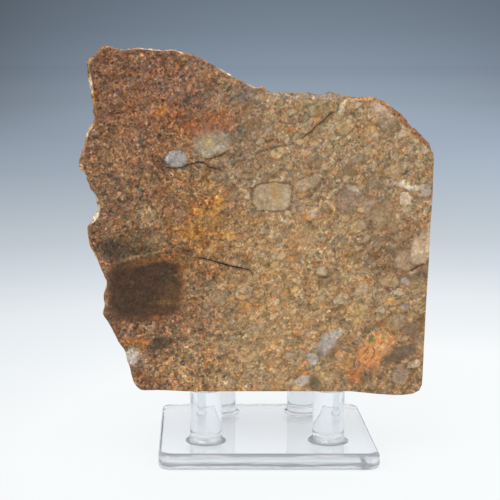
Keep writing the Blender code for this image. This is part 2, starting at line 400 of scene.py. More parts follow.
# What a mineral grain or a small pebble does to the colour under it: the share where each
# kind starts, and what it multiplies red, green and blue by
GRAIN_STOPS = (
    (0.0, (0.50, 0.47, 0.48)), (0.10, (1.06, 0.86, 0.66)), (0.22, (0.80, 0.78, 0.78)),
    (0.36, (1.02, 1.00, 0.96)), (0.50, (1.18, 1.08, 0.84)), (0.62, (0.88, 0.96, 1.10)),
    (0.74, (1.36, 1.38, 1.36)), (0.85, (1.18, 1.00, 0.98)), (0.92, (1.55, 1.62, 1.68)),
    (0.96, (0.66, 0.90, 0.80)),
)
PEBBLE_STOPS = (
    (0.0, (0.84, 0.86, 0.88)), (0.14, (1.16, 1.14, 1.08)), (0.32, (1.02, 1.06, 1.14)),
    (0.46, (1.28, 1.22, 1.02)), (0.60, (0.78, 0.72, 0.66)), (0.70, (1.26, 1.30, 1.38)),
    (0.84, (1.14, 0.88, 0.62)), (0.92, (0.98, 1.06, 1.22)),
)

# Broad stains of the matrix: x, height, half width, half height, turn in degrees, softness,
# strength and colour; sizes in mm
ZONES = (
    (-36.0, 78.0, 20.0, 15.0, 0, 0.6, 0.8, "redbrown"),
    (-17.0, 44.0, 7.5, 9.0, 24, 0.8, 0.6, "ochre"),
    (-27.0, 70.5, 9.0, 4.0, -12, 0.9, 0.35, (146, 94, 56)),
    (-19.0, 35.0, 7.0, 6.0, 0, 0.9, 0.5, (142, 102, 60)),
    (3.0, 25.0, 15.0, 20.0, 0, 0.9, 0.5, (180, 146, 102)),
    (32.0, 36.0, 7.5, 9.5, 24, 0.8, 0.5, (128, 98, 74)),
    (30.0, 8.0, 14.0, 11.0, 0, 0.6, 0.6, (142, 110, 78)),
    (17.0, 56.0, 10.0, 4.0, 12, 0.8, 0.35, (140, 116, 92)),
    (-7.0, 67.5, 6.5, 8.0, 0, 0.6, 0.4, (130, 104, 88)),
    (-7.5, 29.6, 4.5, 4.5, 0, 0.6, 0.3, (134, 104, 78)),
    (-15.7, 21.4, 4.5, 4.5, 0, 0.6, 0.3, (122, 94, 72)),
    (-21.0, 7.0, 9.0, 6.0, 0, 0.6, 0.45, (176, 142, 100)),
    (-28.0, 80.0, 9.0, 7.0, 0, 0.7, 0.5, (142, 108, 90)),
    (-10.0, 56.0, 9.0, 2.4, 0, 0.8, 0.4, (130, 108, 88)),
)
# The dark clast at the left edge and its rusty border, squarish: x, height, half width, half
# height, softness, strength and colour; sizes in mm
DARK_CLAST = (
    (-31.2, 27.8, 10.1, 8.5, 0.3, 0.5, (128, 82, 44)),
    (-31.8, 27.4, 9.2, 7.6, 0.24, 0.93, "dark"),
    (-36.0, 21.6, 6.0, 3.0, 0.4, 0.7, (70, 52, 38)),
)
# Named clasts and stains of the face, with one painted shadow line beneath a pale clast: x, height,
# half width, half height, turn in degrees, softness, strength, outline and colour; sizes in mm
CLASTS = (
    (-25.0, 25.4, 2.6, 3.6, 0, 0.7, 0.45, 0.0, (108, 80, 46)),
    (-26.6, 23.4, 3.6, 0.6, 0, 0.8, 0.45, 0.0, (132, 98, 56)),
    (-28.0, 21.4, 4.4, 1.3, 0, 0.5, 0.7, 0.0, (82, 56, 38)),
    (-27.6, 19.6, 4.0, 0.6, 0, 0.8, 0.4, 0.0, (138, 86, 50)),
    (-31.0, 34.2, 7.0, 0.8, 12, 0.6, 0.5, 0.0, (132, 88, 44)),
    (-15.0, 70.2, 6.4, 2.2, 12, 0.7, 0.5, 0.0, (154, 90, 50)),
    (-20.6, 68.2, 1.8, 2.6, -36, 0.6, 0.5, 0.0, (150, 76, 40)),
    (-21.6, 65.0, 3.6, 2.4, 24, 0.6, 0.5, 0.0, (164, 122, 80)),
    (-15.0, 64.8, 5.1, 3.2, 12, 0.2, 0.85, 0.35, (157, 142, 120)),
    (-15.0, 68.2, 4.8, 1.6, 12, 0.6, 0.7, 0.0, (154, 104, 76)),
    (-15.6, 64.4, 1.4, 1.6, 24, 0.8, 0.5, 0.0, (188, 160, 96)),
    (-14.0, 62.6, 3.6, 0.8, 12, 0.7, 0.5, 0.0, (182, 172, 150)),
    (-23.8, 60.5, 3.2, 2.3, -12, 0.25, 0.9, 0.25, (156, 155, 155)),
    (0.6, 50.9, 5.0, 3.5, 0, 0.1, 0.72, 0.75, (180, 157, 124)),
    (1.4, 51.6, 0.9, 2.2, 12, 0.8, 0.55, 0.0, (176, 134, 72)),
    (3.6, 50.4, 1.6, 2.2, 0, 0.7, 0.5, 0.0, (192, 172, 136)),
    (19.7, 50.1, 2.9, 3.8, -24, 0.3, 0.55, 0.35, (152, 130, 112)),
    (21.2, 52.8, 2.0, 0.5, -24, 0.7, 0.6, 0.0, (196, 180, 152)),
    (28.0, 45.8, 2.6, 3.4, 0, 0.35, 0.55, 0.3, (172, 152, 112)),
    (23.4, 43.3, 1.3, 1.4, 0, 0.3, 0.6, 0.3, (166, 148, 118)),
    (34.8, 53.6, 2.8, 0.6, -12, 0.8, 0.8, 0.0, (222, 210, 188)),
    (33.6, 54.4, 0.7, 0.7, 12, 0.8, 0.7, 0.0, (226, 214, 192)),
    (34.4, 50.4, 1.5, 2.0, 12, 0.25, 0.8, 0.25, (214, 192, 162)),
    (39.6, 52.6, 1.5, 1.9, 0, 0.25, 0.7, 0.4, (166, 156, 142)),
    (35.1, 34.8, 4.0, 3.0, 24, 0.3, 0.6, 0.35, (176, 148, 116)),
    (38.9, 37.8, 3.0, 5.0, -24, 0.3, 0.75, 0.2, (198, 172, 142)),
    # Painted shadow: a dark line just beneath the pale clast above it
    (38.2, 30.4, 3.0, 1.1, 12, 0.5, 0.6, 0.0, (96, 76, 58)),
    (34.8, 29.2, 1.4, 1.3, 0, 0.3, 0.65, 0.25, (166, 152, 146)),
    (32.2, 28.8, 1.0, 1.3, 0, 0.3, 0.6, 0.2, (172, 156, 128)),
    (33.1, 26.5, 1.3, 0.9, 0, 0.3, 0.7, 0.2, (200, 180, 146)),
    (31.1, 23.9, 1.3, 1.0, 12, 0.6, 0.6, 0.0, (204, 152, 82)),
    (34.8, 22.2, 1.2, 1.0, 0, 0.3, 0.6, 0.3, (160, 146, 140)),
    (32.0, 21.8, 1.0, 0.8, 0, 0.3, 0.6, 0.3, (196, 176, 140)),
    (29.0, 21.8, 1.1, 1.2, 0, 0.3, 0.65, 0.3, (180, 164, 138)),
    (22.6, 20.4, 2.3, 2.6, -24, 0.5, 0.6, 0.0, (192, 158, 104)),
    (13.3, 31.7, 1.5, 1.5, 0, 0.3, 0.7, 0.3, (182, 166, 138)),
    (14.2, 30.2, 1.3, 0.5, 0, 0.6, 0.8, 0.0, (66, 58, 46)),
    (32.4, 18.3, 3.0, 2.1, 12, 0.3, 0.6, 0.3, (164, 142, 108)),
    (36.7, 16.2, 2.1, 2.1, 24, 0.25, 0.75, 0.3, (124, 104, 84)),
    (25.8, 58.4, 1.1, 1.5, 0, 0.3, 0.5, 0.3, (180, 158, 122)),
    (30.7, 57.3, 2.2, 1.6, 12, 0.3, 0.5, 0.3, (182, 156, 118)),
    (37.3, 59.2, 1.2, 1.3, 0, 0.3, 0.5, 0.3, (188, 166, 130)),
    (11.4, 55.3, 1.6, 1.6, 0, 0.3, 0.5, 0.3, (182, 162, 130)),
    (28.6, 13.0, 3.9, 2.9, 24, 0.4, 0.75, 0.0, (208, 148, 92)),
    (26.0, 9.8, 3.1, 3.1, 36, 0.4, 0.75, 0.0, (204, 136, 80)),
    (28.4, 11.6, 2.0, 0.6, 24, 0.6, 0.6, 0.0, (222, 182, 134)),
    (25.2, 11.0, 1.4, 0.4, 48, 0.6, 0.7, 0.0, (110, 78, 56)),
    (22.4, 4.8, 2.2, 1.8, 24, 0.7, 0.6, 0.0, (192, 118, 66)),
    (26.7, 13.9, 1.0, 0.8, 24, 0.5, 0.8, 0.0, (96, 122, 80)),
    (29.7, 14.2, 0.6, 0.5, 0, 0.5, 0.7, 0.0, (104, 124, 84)),
    (27.0, 16.8, 0.8, 0.7, 0, 0.5, 0.7, 0.0, (84, 88, 70)),
    (33.8, 9.9, 4.4, 1.8, 24, 0.2, 0.85, 0.2, (104, 86, 68)),
    (37.7, 7.4, 2.2, 1.2, 24, 0.3, 0.7, 0.25, (190, 170, 138)),
    (34.2, 4.2, 2.8, 2.2, 36, 0.3, 0.6, 0.25, (162, 142, 120)),
    (25.0, 3.9, 1.3, 1.8, 0, 0.35, 0.75, 0.0, (96, 84, 64)),
    (15.2, 13.0, 2.4, 4.1, -36, 0.3, 0.8, 0.2, (166, 158, 152)),
    (17.4, 15.4, 1.5, 1.4, 24, 0.5, 0.7, 0.0, (192, 180, 160)),
    (17.2, 12.0, 0.7, 2.4, -36, 0.7, 0.5, 0.0, (130, 100, 78)),
    (11.3, 8.7, 1.7, 2.1, 24, 0.3, 0.75, 0.2, (172, 166, 156)),
    (13.6, 10.3, 0.9, 0.9, 0, 0.4, 0.7, 0.0, (112, 104, 86)),
    (8.9, 2.9, 2.1, 1.5, 12, 0.3, 0.75, 0.2, (184, 172, 160)),
    (5.6, 9.4, 1.9, 1.1, 12, 0.3, 0.65, 0.25, (166, 148, 120)),
    (14.6, 3.8, 1.8, 2.2, 0, 0.5, 0.6, 0.0, (170, 142, 100)),
    (12.2, 2.2, 1.8, 2.0, 24, 0.5, 0.75, 0.0, (90, 78, 56)),
    (19.6, 7.0, 1.8, 1.4, 0, 0.4, 0.55, 0.0, (186, 142, 82)),
    (-34.4, 38.6, 8.0, 4.0, 0, 0.3, 0.8, 0.0, (104, 80, 54)),
    (-39.8, 37.2, 4.4, 2.6, -12, 0.5, 0.8, 0.0, (64, 54, 45)),
    (-33.0, 37.0, 5.0, 1.6, 0, 0.7, 0.6, 0.0, (78, 60, 42)),
    (-28.6, 39.8, 2.6, 1.8, 12, 0.5, 0.6, 0.0, (142, 118, 84)),
    (-32.4, 35.9, 6.4, 0.45, 12, 0.8, 0.6, 0.0, (150, 122, 90)),
    (-21.3, 37.0, 1.3, 0.5, -12, 0.5, 0.9, 0.0, (46, 46, 46)),
    (-28.2, 12.6, 3.5, 1.8, 24, 0.25, 0.92, 0.0, (80, 66, 48)),
    (-35.2, 9.2, 2.4, 3.0, -12, 0.4, 0.85, 0.02, (196, 184, 170)),
    (-32.6, 8.6, 1.2, 2.4, -12, 0.8, 0.5, 0.0, (150, 124, 104)),
    (-34.6, 13.2, 3.4, 1.2, 0, 0.6, 0.6, 0.0, (168, 106, 50)),
    (12.2, 74.0, 5.4, 2.6, 0, 0.6, 0.5, 0.0, (142, 124, 84)),
    (27.7, 72.8, 2.6, 2.1, -24, 0.6, 0.6, 0.0, (198, 170, 148)),
    (17.9, 73.6, 0.6, 2.0, -24, 0.7, 0.7, 0.0, (224, 206, 176)),
    (14.8, 69.6, 0.8, 2.4, -48, 0.7, 0.5, 0.0, (196, 170, 126)),
    (-13.2, 50.0, 0.9, 0.9, 0, 0.7, 0.75, 0.0, (208, 152, 66)),
    (-18.6, 46.8, 2.2, 1.1, 24, 0.9, 0.55, 0.0, (190, 132, 58)),
    (-20.2, 41.8, 4.2, 1.3, 0, 0.9, 0.6, 0.0, (182, 124, 52)),
    (-14.6, 44.6, 1.4, 2.0, 24, 0.9, 0.5, 0.0, (182, 130, 64)),
    (-13.0, 48.2, 1.2, 0.7, 0, 0.7, 0.6, 0.0, (206, 150, 70)),
    (-10.4, 41.4, 1.3, 1.0, 0, 0.7, 0.7, 0.0, (208, 154, 70)),
    (34.9, 54.4, 0.5, 0.4, 0, 0.5, 0.9, 0.0, (226, 180, 60)),
    (-27.6, 72.6, 1.4, 0.9, 12, 0.6, 0.6, 0.0, (206, 132, 44)),
    (-21.2, 75.4, 1.8, 0.6, 24, 0.6, 0.7, 0.0, (84, 74, 68)),
    (-20.9, 71.3, 2.1, 0.8, 12, 0.6, 0.65, 0.0, (88, 72, 62)),
    (-34.4, 64.2, 3.2, 1.8, 36, 0.7, 0.35, 0.0, (96, 84, 76)),
    (-7.6, 67.0, 1.5, 2.4, -24, 0.7, 0.5, 0.0, (104, 100, 82)),
    (-6.2, 76.2, 2.6, 2.0, 12, 0.7, 0.55, 0.0, (112, 100, 94)),
    (-40.0, 53.0, 2.6, 2.4, 0, 0.8, 0.4, 0.0, (108, 88, 66)),
    (-28.0, 54.0, 2.2, 4.0, 36, 0.8, 0.4, 0.0, (150, 106, 62)),
    (-23.6, 47.4, 2.2, 3.4, 0, 0.8, 0.4, 0.0, (116, 88, 78)),
    (-31.0, 46.0, 3.0, 2.6, 12, 0.6, 0.5, 0.0, (160, 138, 100)),
    (7.6, 39.8, 3.0, 2.4, 24, 0.7, 0.5, 0.0, (188, 140, 88)),
    (-36.5, 62.5, 5.2, 6.2, 0, 0.9, 0.35, 0.0, (164, 126, 92)),
    (29.0, 48.0, 5.0, 7.0, 0, 0.9, 0.3, 0.0, (132, 104, 84)),
    (-5.0, 9.4, 3.0, 2.4, 0, 0.7, 0.5, 0.0, (188, 152, 108)),
)
SQUARISH_OUTLINE = 0.7
# Pale and rusty patches of the broken rim, seen past the face edge: x, height, half width,
# half height, depth they reach, colour
RIM_PATCHES = (
    (-46.6, 78.6, 3.0, 2.6, 9.0, (236, 214, 180)), (-46.4, 75.4, 3.0, 1.6, 9.0, (232, 176, 92)),
    (-45.2, 66.8, 3.4, 2.2, 9.0, (232, 208, 162)), (-48.0, 57.0, 2.2, 2.2, 9.0, (232, 196, 142)),
    (-45.0, 50.3, 1.6, 1.1, 9.0, (236, 214, 180)), (-44.0, 46.2, 3.4, 2.4, 10.0, (240, 228, 204)),
    (-43.0, 35.4, 2.2, 1.8, 8.0, (214, 176, 132)), (-42.4, 27.6, 1.6, 1.6, 8.0, (216, 190, 150)),
    (-42.8, 20.0, 1.6, 1.6, 8.0, (222, 190, 138)), (-36.6, 8.4, 1.8, 3.4, 8.0, (226, 214, 196)),
    (-28.0, 87.6, 6.4, 1.0, 6.0, (230, 208, 192)), (-11.8, 81.4, 2.4, 1.6, 6.0, (238, 226, 212)),
    (-4.8, 78.8, 1.4, 1.0, 6.0, (232, 210, 182)), (-2.0, 78.4, 1.2, 1.0, 5.0, (224, 152, 70)),
    (8.0, 76.6, 11.0, 2.6, 30.0, (140, 132, 122)), (27.0, 75.2, 4.0, 2.0, 9.0, (164, 122, 78)),
    (33.0, 71.4, 4.6, 3.4, 9.0, (126, 84, 60)), (39.0, 66.0, 4.0, 3.2, 9.0, (124, 76, 54)), (36.2, 69.8, 1.2, 0.8, 9.0, (238, 216, 178)),
)


def material_called(name):
    material = bpy.data.materials.get(name) or bpy.data.materials.new(name)
    return material


def stone_material(look):
    """Metaconglomerate: stained matrix, mineral grains, pebbles, named clasts, cracks and rim."""
    material = material_called("polished_metaconglomerate")
    sheet = NodeSheet(material)
    here = sheet.node("ShaderNodeTexCoord", output="Object")
    # place is in mm: across, depth behind the face, height above the base
    place = sheet.node(
        "ShaderNodeMapping", {"vector_type": "POINT"},
        {"Vector": here, "Location": (0.0, -look.front_y / MM, -look.base_z / MM),
         "Scale": (1 / MM, 1 / MM, 1 / MM)})
    across, depth, height = sheet.parts(place)
    broad = sheet.warped(place, 14.0, 14.0, 3.0)
    ragged = sheet.warped(sheet.warped(place, 4.0, 1.9, 2.0), 0.9, 0.9, 2.0)
    gentle = sheet.warped(place, 1.4, 0.4)

    # Matrix colour by zone
    broad_across = sheet.parts(broad)[0]
    leftness = sheet.step(broad_across, 2.0, -28.0)
    colour = sheet.mix(leftness, rgba(look.tan), rgba(look.rust))
    for x, z, half_x, half_z, turn, soft, strength, stain in ZONES:
        reach = sheet.reach(broad, (x, z), (half_x, half_z), turn, 60.0)
        zone = sheet.step(reach, 1.0 + soft, 1.0 - soft, 0.0, strength)
        colour = sheet.mix(zone, colour, stain_colour(look, stain))

    # Named clasts, and pale patches of the rim
    clasts = Overlay(sheet)
    for x, z, half_x, half_z, soft, strength, stain in DARK_CLAST:
        reach = sheet.reach(ragged, (x, z), (half_x, half_z), 0, square=True)
        clasts.add(reach, soft, strength, stain_colour(look, stain))
    jagged = sheet.noise(place, 1.5, 2.0) - 0.5
    for x, z, half_x, half_z, turn, soft, strength, outline, stain in CLASTS:
        if not outline:
            continue
        # An outlined stone; the one with the strongest outline is squarish
        square = outline > SQUARISH_OUTLINE
        steep = 2.0 if square else 1.0
        thin = min(half_x, half_z)
        reach = sheet.reach(ragged, (x, z), (half_x, half_z), turn, square=square)
        reach = sheet.maths("MULTIPLY_ADD", jagged, 0.9 * steep / thin, reach)
        clasts.add(reach, 0.0, 0.9 * outline, rgba(srgb(88, 64, 44)), 1.0 + 0.14 * steep / thin,
                   1.03 + 0.42 * steep / thin)
        clasts.add(reach, 0.0, strength, stain_colour(look, stain), 1 - steep * soft, 1 + 0.03 * steep)
    # Clasts without an outline and stains, with the painted shadow line among them
    stains_and_painted_shadow = Overlay(sheet)
    for x, z, half_x, half_z, turn, soft, strength, outline, stain in CLASTS:
        if not outline:
            reach = sheet.reach(ragged, (x, z), (half_x, half_z), turn)
            stains_and_painted_shadow.add(reach, soft, strength, stain_colour(look, stain))
    patches = Overlay(sheet)
    for x, z, half_x, half_z, deep, stain in RIM_PATCHES:
        reach = sheet.reach(ragged, (x, z), (half_x, half_z), 0, deep)
        patches.add(reach, 0.35, 0.85, rgba(srgb(*stain)))

    def leaning(shift, turn, stretch):
        """Coordinates turned to the stone's slanting grain and drawn out along it."""
        return sheet.node(
            "ShaderNodeMapping", {"vector_type": "TEXTURE"},
            {"Vector": ragged, "Location": (shift, 0.4 * shift, 0.7 * shift),
             "Rotation": (0.0, math.radians(-turn), 0.0), "Scale": (stretch, 1.0, 1 / stretch)})

    # Stains a few millimetres across, drawn out along the stone's slanting grain
    for size, shift, low, high, strength, factor in (
            (5.0, 0.0, 0.53, 0.64, 0.6, (1.12, 0.92, 0.68)),
            (4.0, 31.0, 0.54, 0.64, 0.85, (0.76, 0.80, 0.84)),
            (3.2, 57.0, 0.54, 0.66, 0.8, (1.14, 1.20, 1.26)),
            (2.2, 83.0, 0.55, 0.64, 0.65, (1.12, 0.86, 0.66)),
            (1.9, 101.0, 0.56, 0.64, 0.85, (0.64, 0.66, 0.68)),
            (1.5, 127.0, 0.56, 0.64, 0.8, (1.18, 1.22, 1.28)),
            (1.3, 149.0, 0.57, 0.66, 0.6, (0.84, 1.02, 0.84))):
        patch = sheet.step(sheet.noise(leaning(shift, 28, 1.25), size, 2.0, 0.55), low, high)
        colour = sheet.mix(patch * strength, colour, rgba(factor), "MULTIPLY")

    # Pebbles of two sizes, flattened and leaning to the right
    def pebbles(colour, size, shown, strength, shift):
        where = leaning(shift, 32, 1.2)
        pick, girth, shade = sheet.parts(sheet.cells(where, size, 0.9))
        distance = sheet.cells(where, size, 0.9, output="Distance")
        edge = sheet.cells(where, size, 0.9, "DISTANCE_TO_EDGE", "Distance")
        inside = sheet.step(distance - (girth * 0.26 + 0.24), 0.1, -0.1)
        wanted = sheet.step(pick, 1 - shown, 1 - shown + 0.04)
        skin = sheet.ramp(shade, PEBBLE_STOPS, "CONSTANT")
        ring = inside * (1 - inside) * wanted
        seam = sheet.step(edge, 0.16, 0.0) * strength
        colour = sheet.mix(seam * 0.7, colour, (0.78, 0.69, 0.58, 1.0), "MULTIPLY")
        colour = sheet.mix(inside * wanted * strength, colour, skin, "MULTIPLY")
        colour = sheet.mix(ring * 2.0 * strength, colour, (0.5, 0.46, 0.42, 1.0), "MULTIPLY")
        return colour, inside * wanted * strength

    calm_left = 1 - leftness * 0.75
    colour, big_pebble = pebbles(colour, 4.6, 0.55, calm_left * 0.9, 3.0)
    colour, small_pebble = pebbles(colour, 2.1, 0.7, calm_left * 0.95, 17.0)
    solid = sheet.maths("MAXIMUM", big_pebble * 0.6, small_pebble * 0.6)

    # The named clasts over the rest, blotched a little
    firm = 1 - clasts.clear
    colour = clasts.over(colour)
    blotch = sheet.mix(
        sheet.step(sheet.noise(ragged, 2.0, 3.0, 0.6), 0.34, 0.66),
        (0.80, 0.77, 0.74, 1.0), (1.18, 1.18, 1.20, 1.0))
    colour = sheet.mix(firm, colour, blotch, "MULTIPLY")
    soft = 1 - stains_and_painted_shadow.clear
    colour = stains_and_painted_shadow.over(colour)
    solid = sheet.maths("MAXIMUM", solid, sheet.maths("MAXIMUM", firm * 0.6, soft * 0.25))

    # Mineral grains of three sizes
    grain_calm = (1 - solid) * (leftness * 0.38 + 0.62)
    for size, strength, spread in ((1.7, 0.4, 0.3), (0.85, 0.75, 0.7), (0.44, 0.95, 0.9)):
        grain, light, _ = sheet.parts(sheet.cells(gentle, size))
        amount = grain_calm * strength
        colour = sheet.mix(
            amount, colour, sheet.ramp(grain, GRAIN_STOPS, "CONSTANT"), "MULTIPLY")
        dim, bright = 1 - spread / 2, 1 + spread / 2
        shade = sheet.mix(light, (dim, dim, dim, 1.0), (bright, bright, bright, 1.0))
        colour = sheet.mix(amount, colour, shade, "MULTIPLY")

    # Scattered specks
    for size, share, radius, strength, speck in (
            (2.2, 0.3, 0.22, 0.75, (58, 56, 48)), (2.6, 0.4, 0.17, 0.75, (90, 104, 76)),
            (2.0, 0.12, 0.12, 0.5, (214, 200, 176)), (4.0, 0.25, 0.10, 0.5, (214, 154, 66))):
        moved = leaning(size * 7, 28, 1.1)
        pick = sheet.parts(sheet.cells(moved, size))[0]
        near = sheet.cells(moved, size, output="Distance")
        spot = sheet.step(near, radius + 0.10, radius - 0.10) * sheet.step(
            pick, 1 - share, 1 - share + 0.03)
        colour = sheet.mix(spot * grain_calm * strength, colour, rgba(srgb(*speck)))

    # Broken rim and sawn sides
    rough = sheet.node(
        "ShaderNodeAttribute", {"attribute_name": "rough"}, output="Fac")
    off_face = sheet.step(depth, 0.15, 0.9)
    broken = off_face * rough
    crumb = sheet.noise(place, 5.5, 4.0, 0.65)
    weathered = sheet.ramp(crumb, (
        (0.32, (0.70, 0.56, 0.48)), (0.48, (0.92, 0.76, 0.60)), (0.60, (1.12, 1.0, 0.80)),
        (0.72, (1.2, 1.2, 1.16))))
    colour = sheet.mix(broken * 0.35, colour, rgba(srgb(206, 170, 132)))
    colour = sheet.mix(broken * 0.85, colour, weathered, "MULTIPLY")
    seen_along = sheet.node(
        "ShaderNodeMapping", {"vector_type": "POINT"}, {"Vector": ragged, "Scale": (1, 0.25, 1)})
    flaky = sheet.step(sheet.noise(seen_along, 1.0, 3.0, 0.65), 0.42, 0.55)
    colour = sheet.mix(broken * (flaky * 0.5 + 0.5), colour, patches.over(colour))
    chip = sheet.parts(sheet.cells(seen_along, 0.75))[0]
    colour = sheet.mix(
        broken * 0.9, colour, sheet.ramp(chip, GRAIN_STOPS, "CONSTANT"), "MULTIPLY")
    crumbly = sheet.mix(
        sheet.step(sheet.noise(seen_along, 0.6, 2.0, 0.6), 0.36, 0.64),
        (0.62, 0.60, 0.58, 1.0), (1.34, 1.34, 1.34, 1.0))
    colour = sheet.mix(broken * 0.9, colour, crumbly, "MULTIPLY")
    sawn = off_face * (1 - rough)
    colour = sheet.mix(sawn * 0.18, colour, rgba(srgb(186, 166, 140)))

    # Cracks: dark along the groove, a brown stain beside it
    crack = sheet.node(
        "ShaderNodeAttribute", {"attribute_name": "crack"}, output="Fac")
    blots = sheet.noise(place, 0.75, 3.0, 0.65)
    halo = sheet.step(crack, 0.05, SHOULDER) * sheet.step(blots, 0.4, 0.6, 0.15, 0.95)
    colour = sheet.mix(halo, colour, rgba(srgb(92, 68, 46)))
    groove = sheet.step(crack, SHOULDER * 0.92, 0.86) * sheet.step(blots, 0.36, 0.52, 0.6, 1.0)
    colour = sheet.mix(groove, colour, rgba(look.crack))

    # Finish
    gloss_spread = sheet.noise(ragged, 1.3, 2.0)
    roughness = gloss_spread * 0.22 + 0.36 + broken * 0.42 + sawn * 0.25
    grit = sheet.noise(place, 0.7, 3.0, 0.65)
    grain_height = sheet.cells(gentle, 0.8, output="Distance")
    texture_height = grit * (broken * 0.9 + sawn * 0.12 + 0.03) + grain_height * (
        broken * 0.6 + 0.012)
    bump = sheet.node(
        "ShaderNodeBump", None,
        {"Strength": 0.8, "Distance": 0.35 * MM, "Height": texture_height})
    shader = sheet.node(
        "ShaderNodeBsdfPrincipled", None,
        {"Base Color": colour, "Roughness": roughness, "Normal": bump, "IOR": 1.5,
         "Specular IOR Level": 0.22})
    sheet.node("ShaderNodeOutputMaterial", None, {"Surface": shader})
    return material


def shaded(colour, amount):
    """A colour made darker or lighter."""
    return rgba(tuple(channel * amount for channel in tuple(colour)[:3]))


def stain_colour(look, stain):
    """A colour from the settings by name, or one given in display values."""
    return rgba(getattr(look, stain)) if isinstance(stain, str) else rgba(srgb(*stain))


def plastic_material(look):
    """Clear moulded acrylic with a faint waviness."""
    material = material_called("clear_acrylic")
    sheet = NodeSheet(material)
    here = sheet.node("ShaderNodeTexCoord", output="Object")
    waves = sheet.noise(here, 9 * MM, 2.0)
    fine = sheet.noise(here, 1.5 * MM, 2.0)
    bump = sheet.node(
        "ShaderNodeBump", None,
        {"Strength": 0.12, "Distance": 0.25 * MM, "Height": waves + fine * 0.06})
    shader = sheet.node(
        "ShaderNodeBsdfPrincipled", None,
        {"Base Color": rgba(look.plastic), "Roughness": fine * 0.03 + 0.01,
         "IOR": look.refraction, "Transmission Weight": 0.83, "Normal": bump})
    sheet.node("ShaderNodeOutputMaterial", None, {"Surface": shader})
    return material


def new_piece(name, bm, material, node):
    """Turn a bmesh into a piece that rides with the object and stands for a CAD node."""
    mesh = bpy.data.meshes.new(name)
    bm.to_mesh(mesh)
    bm.free()
    piece = bpy.data.objects.new(name, mesh)
    bpy.context.scene.collection.objects.link(piece)
    mesh.materials.append(material)
    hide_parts(node)
    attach(piece, "root")
    return piece


def face_outline(step):
    """Edge of the face in metres as x, height and lip: curved on broken runs, straight on sawn."""
    corners = [Vector(corner) * MM for corner in FACE_EDGE]
    count = len(corners)
    points = []
    for i, start in enumerate(corners):
        before, end, after = corners[i - 1], corners[(i + 1) % count], corners[(i + 2) % count]
        points.append(start)
        run = (end - start).xy.length
        broken = start.z or end.z
        pieces = max(1, round(run / (step if broken else 2.5 * step)))
        for part in range(1, pieces):
            t = part / pieces
            bend = start.lerp(end, t)
            if broken:
                bend = (2 * start + (end - before) * t
                        + (2 * before - 5 * start + 4 * end - after) * t ** 2
                        + (3 * start - before - 3 * end + after) * t ** 3) / 2
            points.append(Vector((bend.x, bend.y, start.z + (end.z - start.z) * t)))
    return points


def relief(place, depth):
    """How far the broken rim is worn back at a place: lumps and ledges, less the knobs."""
    calm = min(1.0, max(0.0, (depth - CALM_DEPTH) / CALM_FADE))
    lump = 0.5 - 0.5 * noise.noise(place / LUMP_SIZE)
    ledge = 0.5 + 0.5 * math.tanh(LEDGE_SHARPNESS * noise.noise(place / LEDGE_SIZE))
    distance = noise.voronoi(place / KNOB_SIZE)[0][0]
    knob = max(0.0, 1.0 - 2.0 * distance)
    return calm * (LUMP_HEIGHT * lump + LEDGE_HEIGHT * ledge - KNOB_HEIGHT * knob)


def rim_section(behind):
    """Share of the lip and wear in mm at a share of the thickness, between the sections."""
    for (low, lip_low, worn_low), (high, lip_high, worn_high) in zip(
            RIM_SECTIONS, RIM_SECTIONS[1:]):
        if behind <= high:
            t = (behind - low) / (high - low)
            return lip_low + (lip_high - lip_low) * t, worn_low + (worn_high - worn_low) * t
    return RIM_SECTIONS[-1][1:]


def crumbs(place):
    """Fine relief of broken stone: small pebbles standing out, grains and pits, in metres."""
    pebble = max(0.0, 0.75 - noise.voronoi(place / (3.1 * MM))[0][0])
    small = max(0.0, 0.7 - noise.voronoi(place / (1.5 * MM))[0][0])
    grit = noise.fractal(place / (2.2 * MM), 0.9, 2.1, 3)
    return (0.75 * pebble + 0.30 * small + 0.30 * grit - 0.35) * MM


def rim_depths(look):
    """Distances behind the face at which the rim has a ring, closer together at the edges."""
    depths = [0.0, 0.07 * MM, 0.22 * MM, 0.5 * MM, 0.9 * MM]
    steps = round((look.thickness - 1.8 * MM) / look.rim_step)
    for i in range(1, steps + 1):
        depths.append(0.9 * MM + (look.thickness - 1.8 * MM) * i / steps)
    depths += [look.thickness - 0.4 * MM, look.thickness]
    return depths


def rim_rings(look, outline):
    """Rings of points from the face edge to the back, and how rough each column is."""
    rings = []
    for depth in rim_depths(look):
        share, worn = rim_section(depth / look.thickness)
        ring = []
        for x, height, lip in outline:
            ray = Vector((x - SLAB_MIDDLE[0], 0.0, height - SLAB_MIDDLE[1])).normalized()
            place = Vector((x, look.front_y + depth, look.base_z + height))
            rough = min(1.0, lip / FULL_LIP)
            chips = 0.5 + 0.5 * noise.fractal(place / (1.7 * MM), 0.8, 2.0, 3)
            edge = max(0.0, 1 - depth / (0.22 * MM)) + max(
                0.0, 1 - (look.thickness - depth) / (0.4 * MM))
            wear = look.bevel * edge * (0.35 + 1.3 * max(0.0, chips))
            out = share * lip - rough * (worn * MM + relief(place, depth)) - wear
            ring.append(place + ray * out)
        rings.append(ring)
    return rings


def smooth_line(points, step):
    """Catmull-Rom curve through points in mm, with points about a step apart."""
    line = []
    for i, (start, end) in enumerate(zip(points, points[1:])):
        start, end = Vector(start), Vector(end)
        before = Vector(points[i - 1]) if i else 2 * start - end
        after = Vector(points[i + 2]) if i + 2 < len(points) else 2 * end - start
        pieces = max(1, round((end - start).length / step))
        for part in range(pieces):
            t = part / pieces
            line.append((2 * start + (end - before) * t
                         + (2 * before - 5 * start + 4 * end - after) * t ** 2
                         + (3 * start - before - 3 * end + after) * t ** 3) / 2)
    line.append(Vector(points[-1]))
    return line


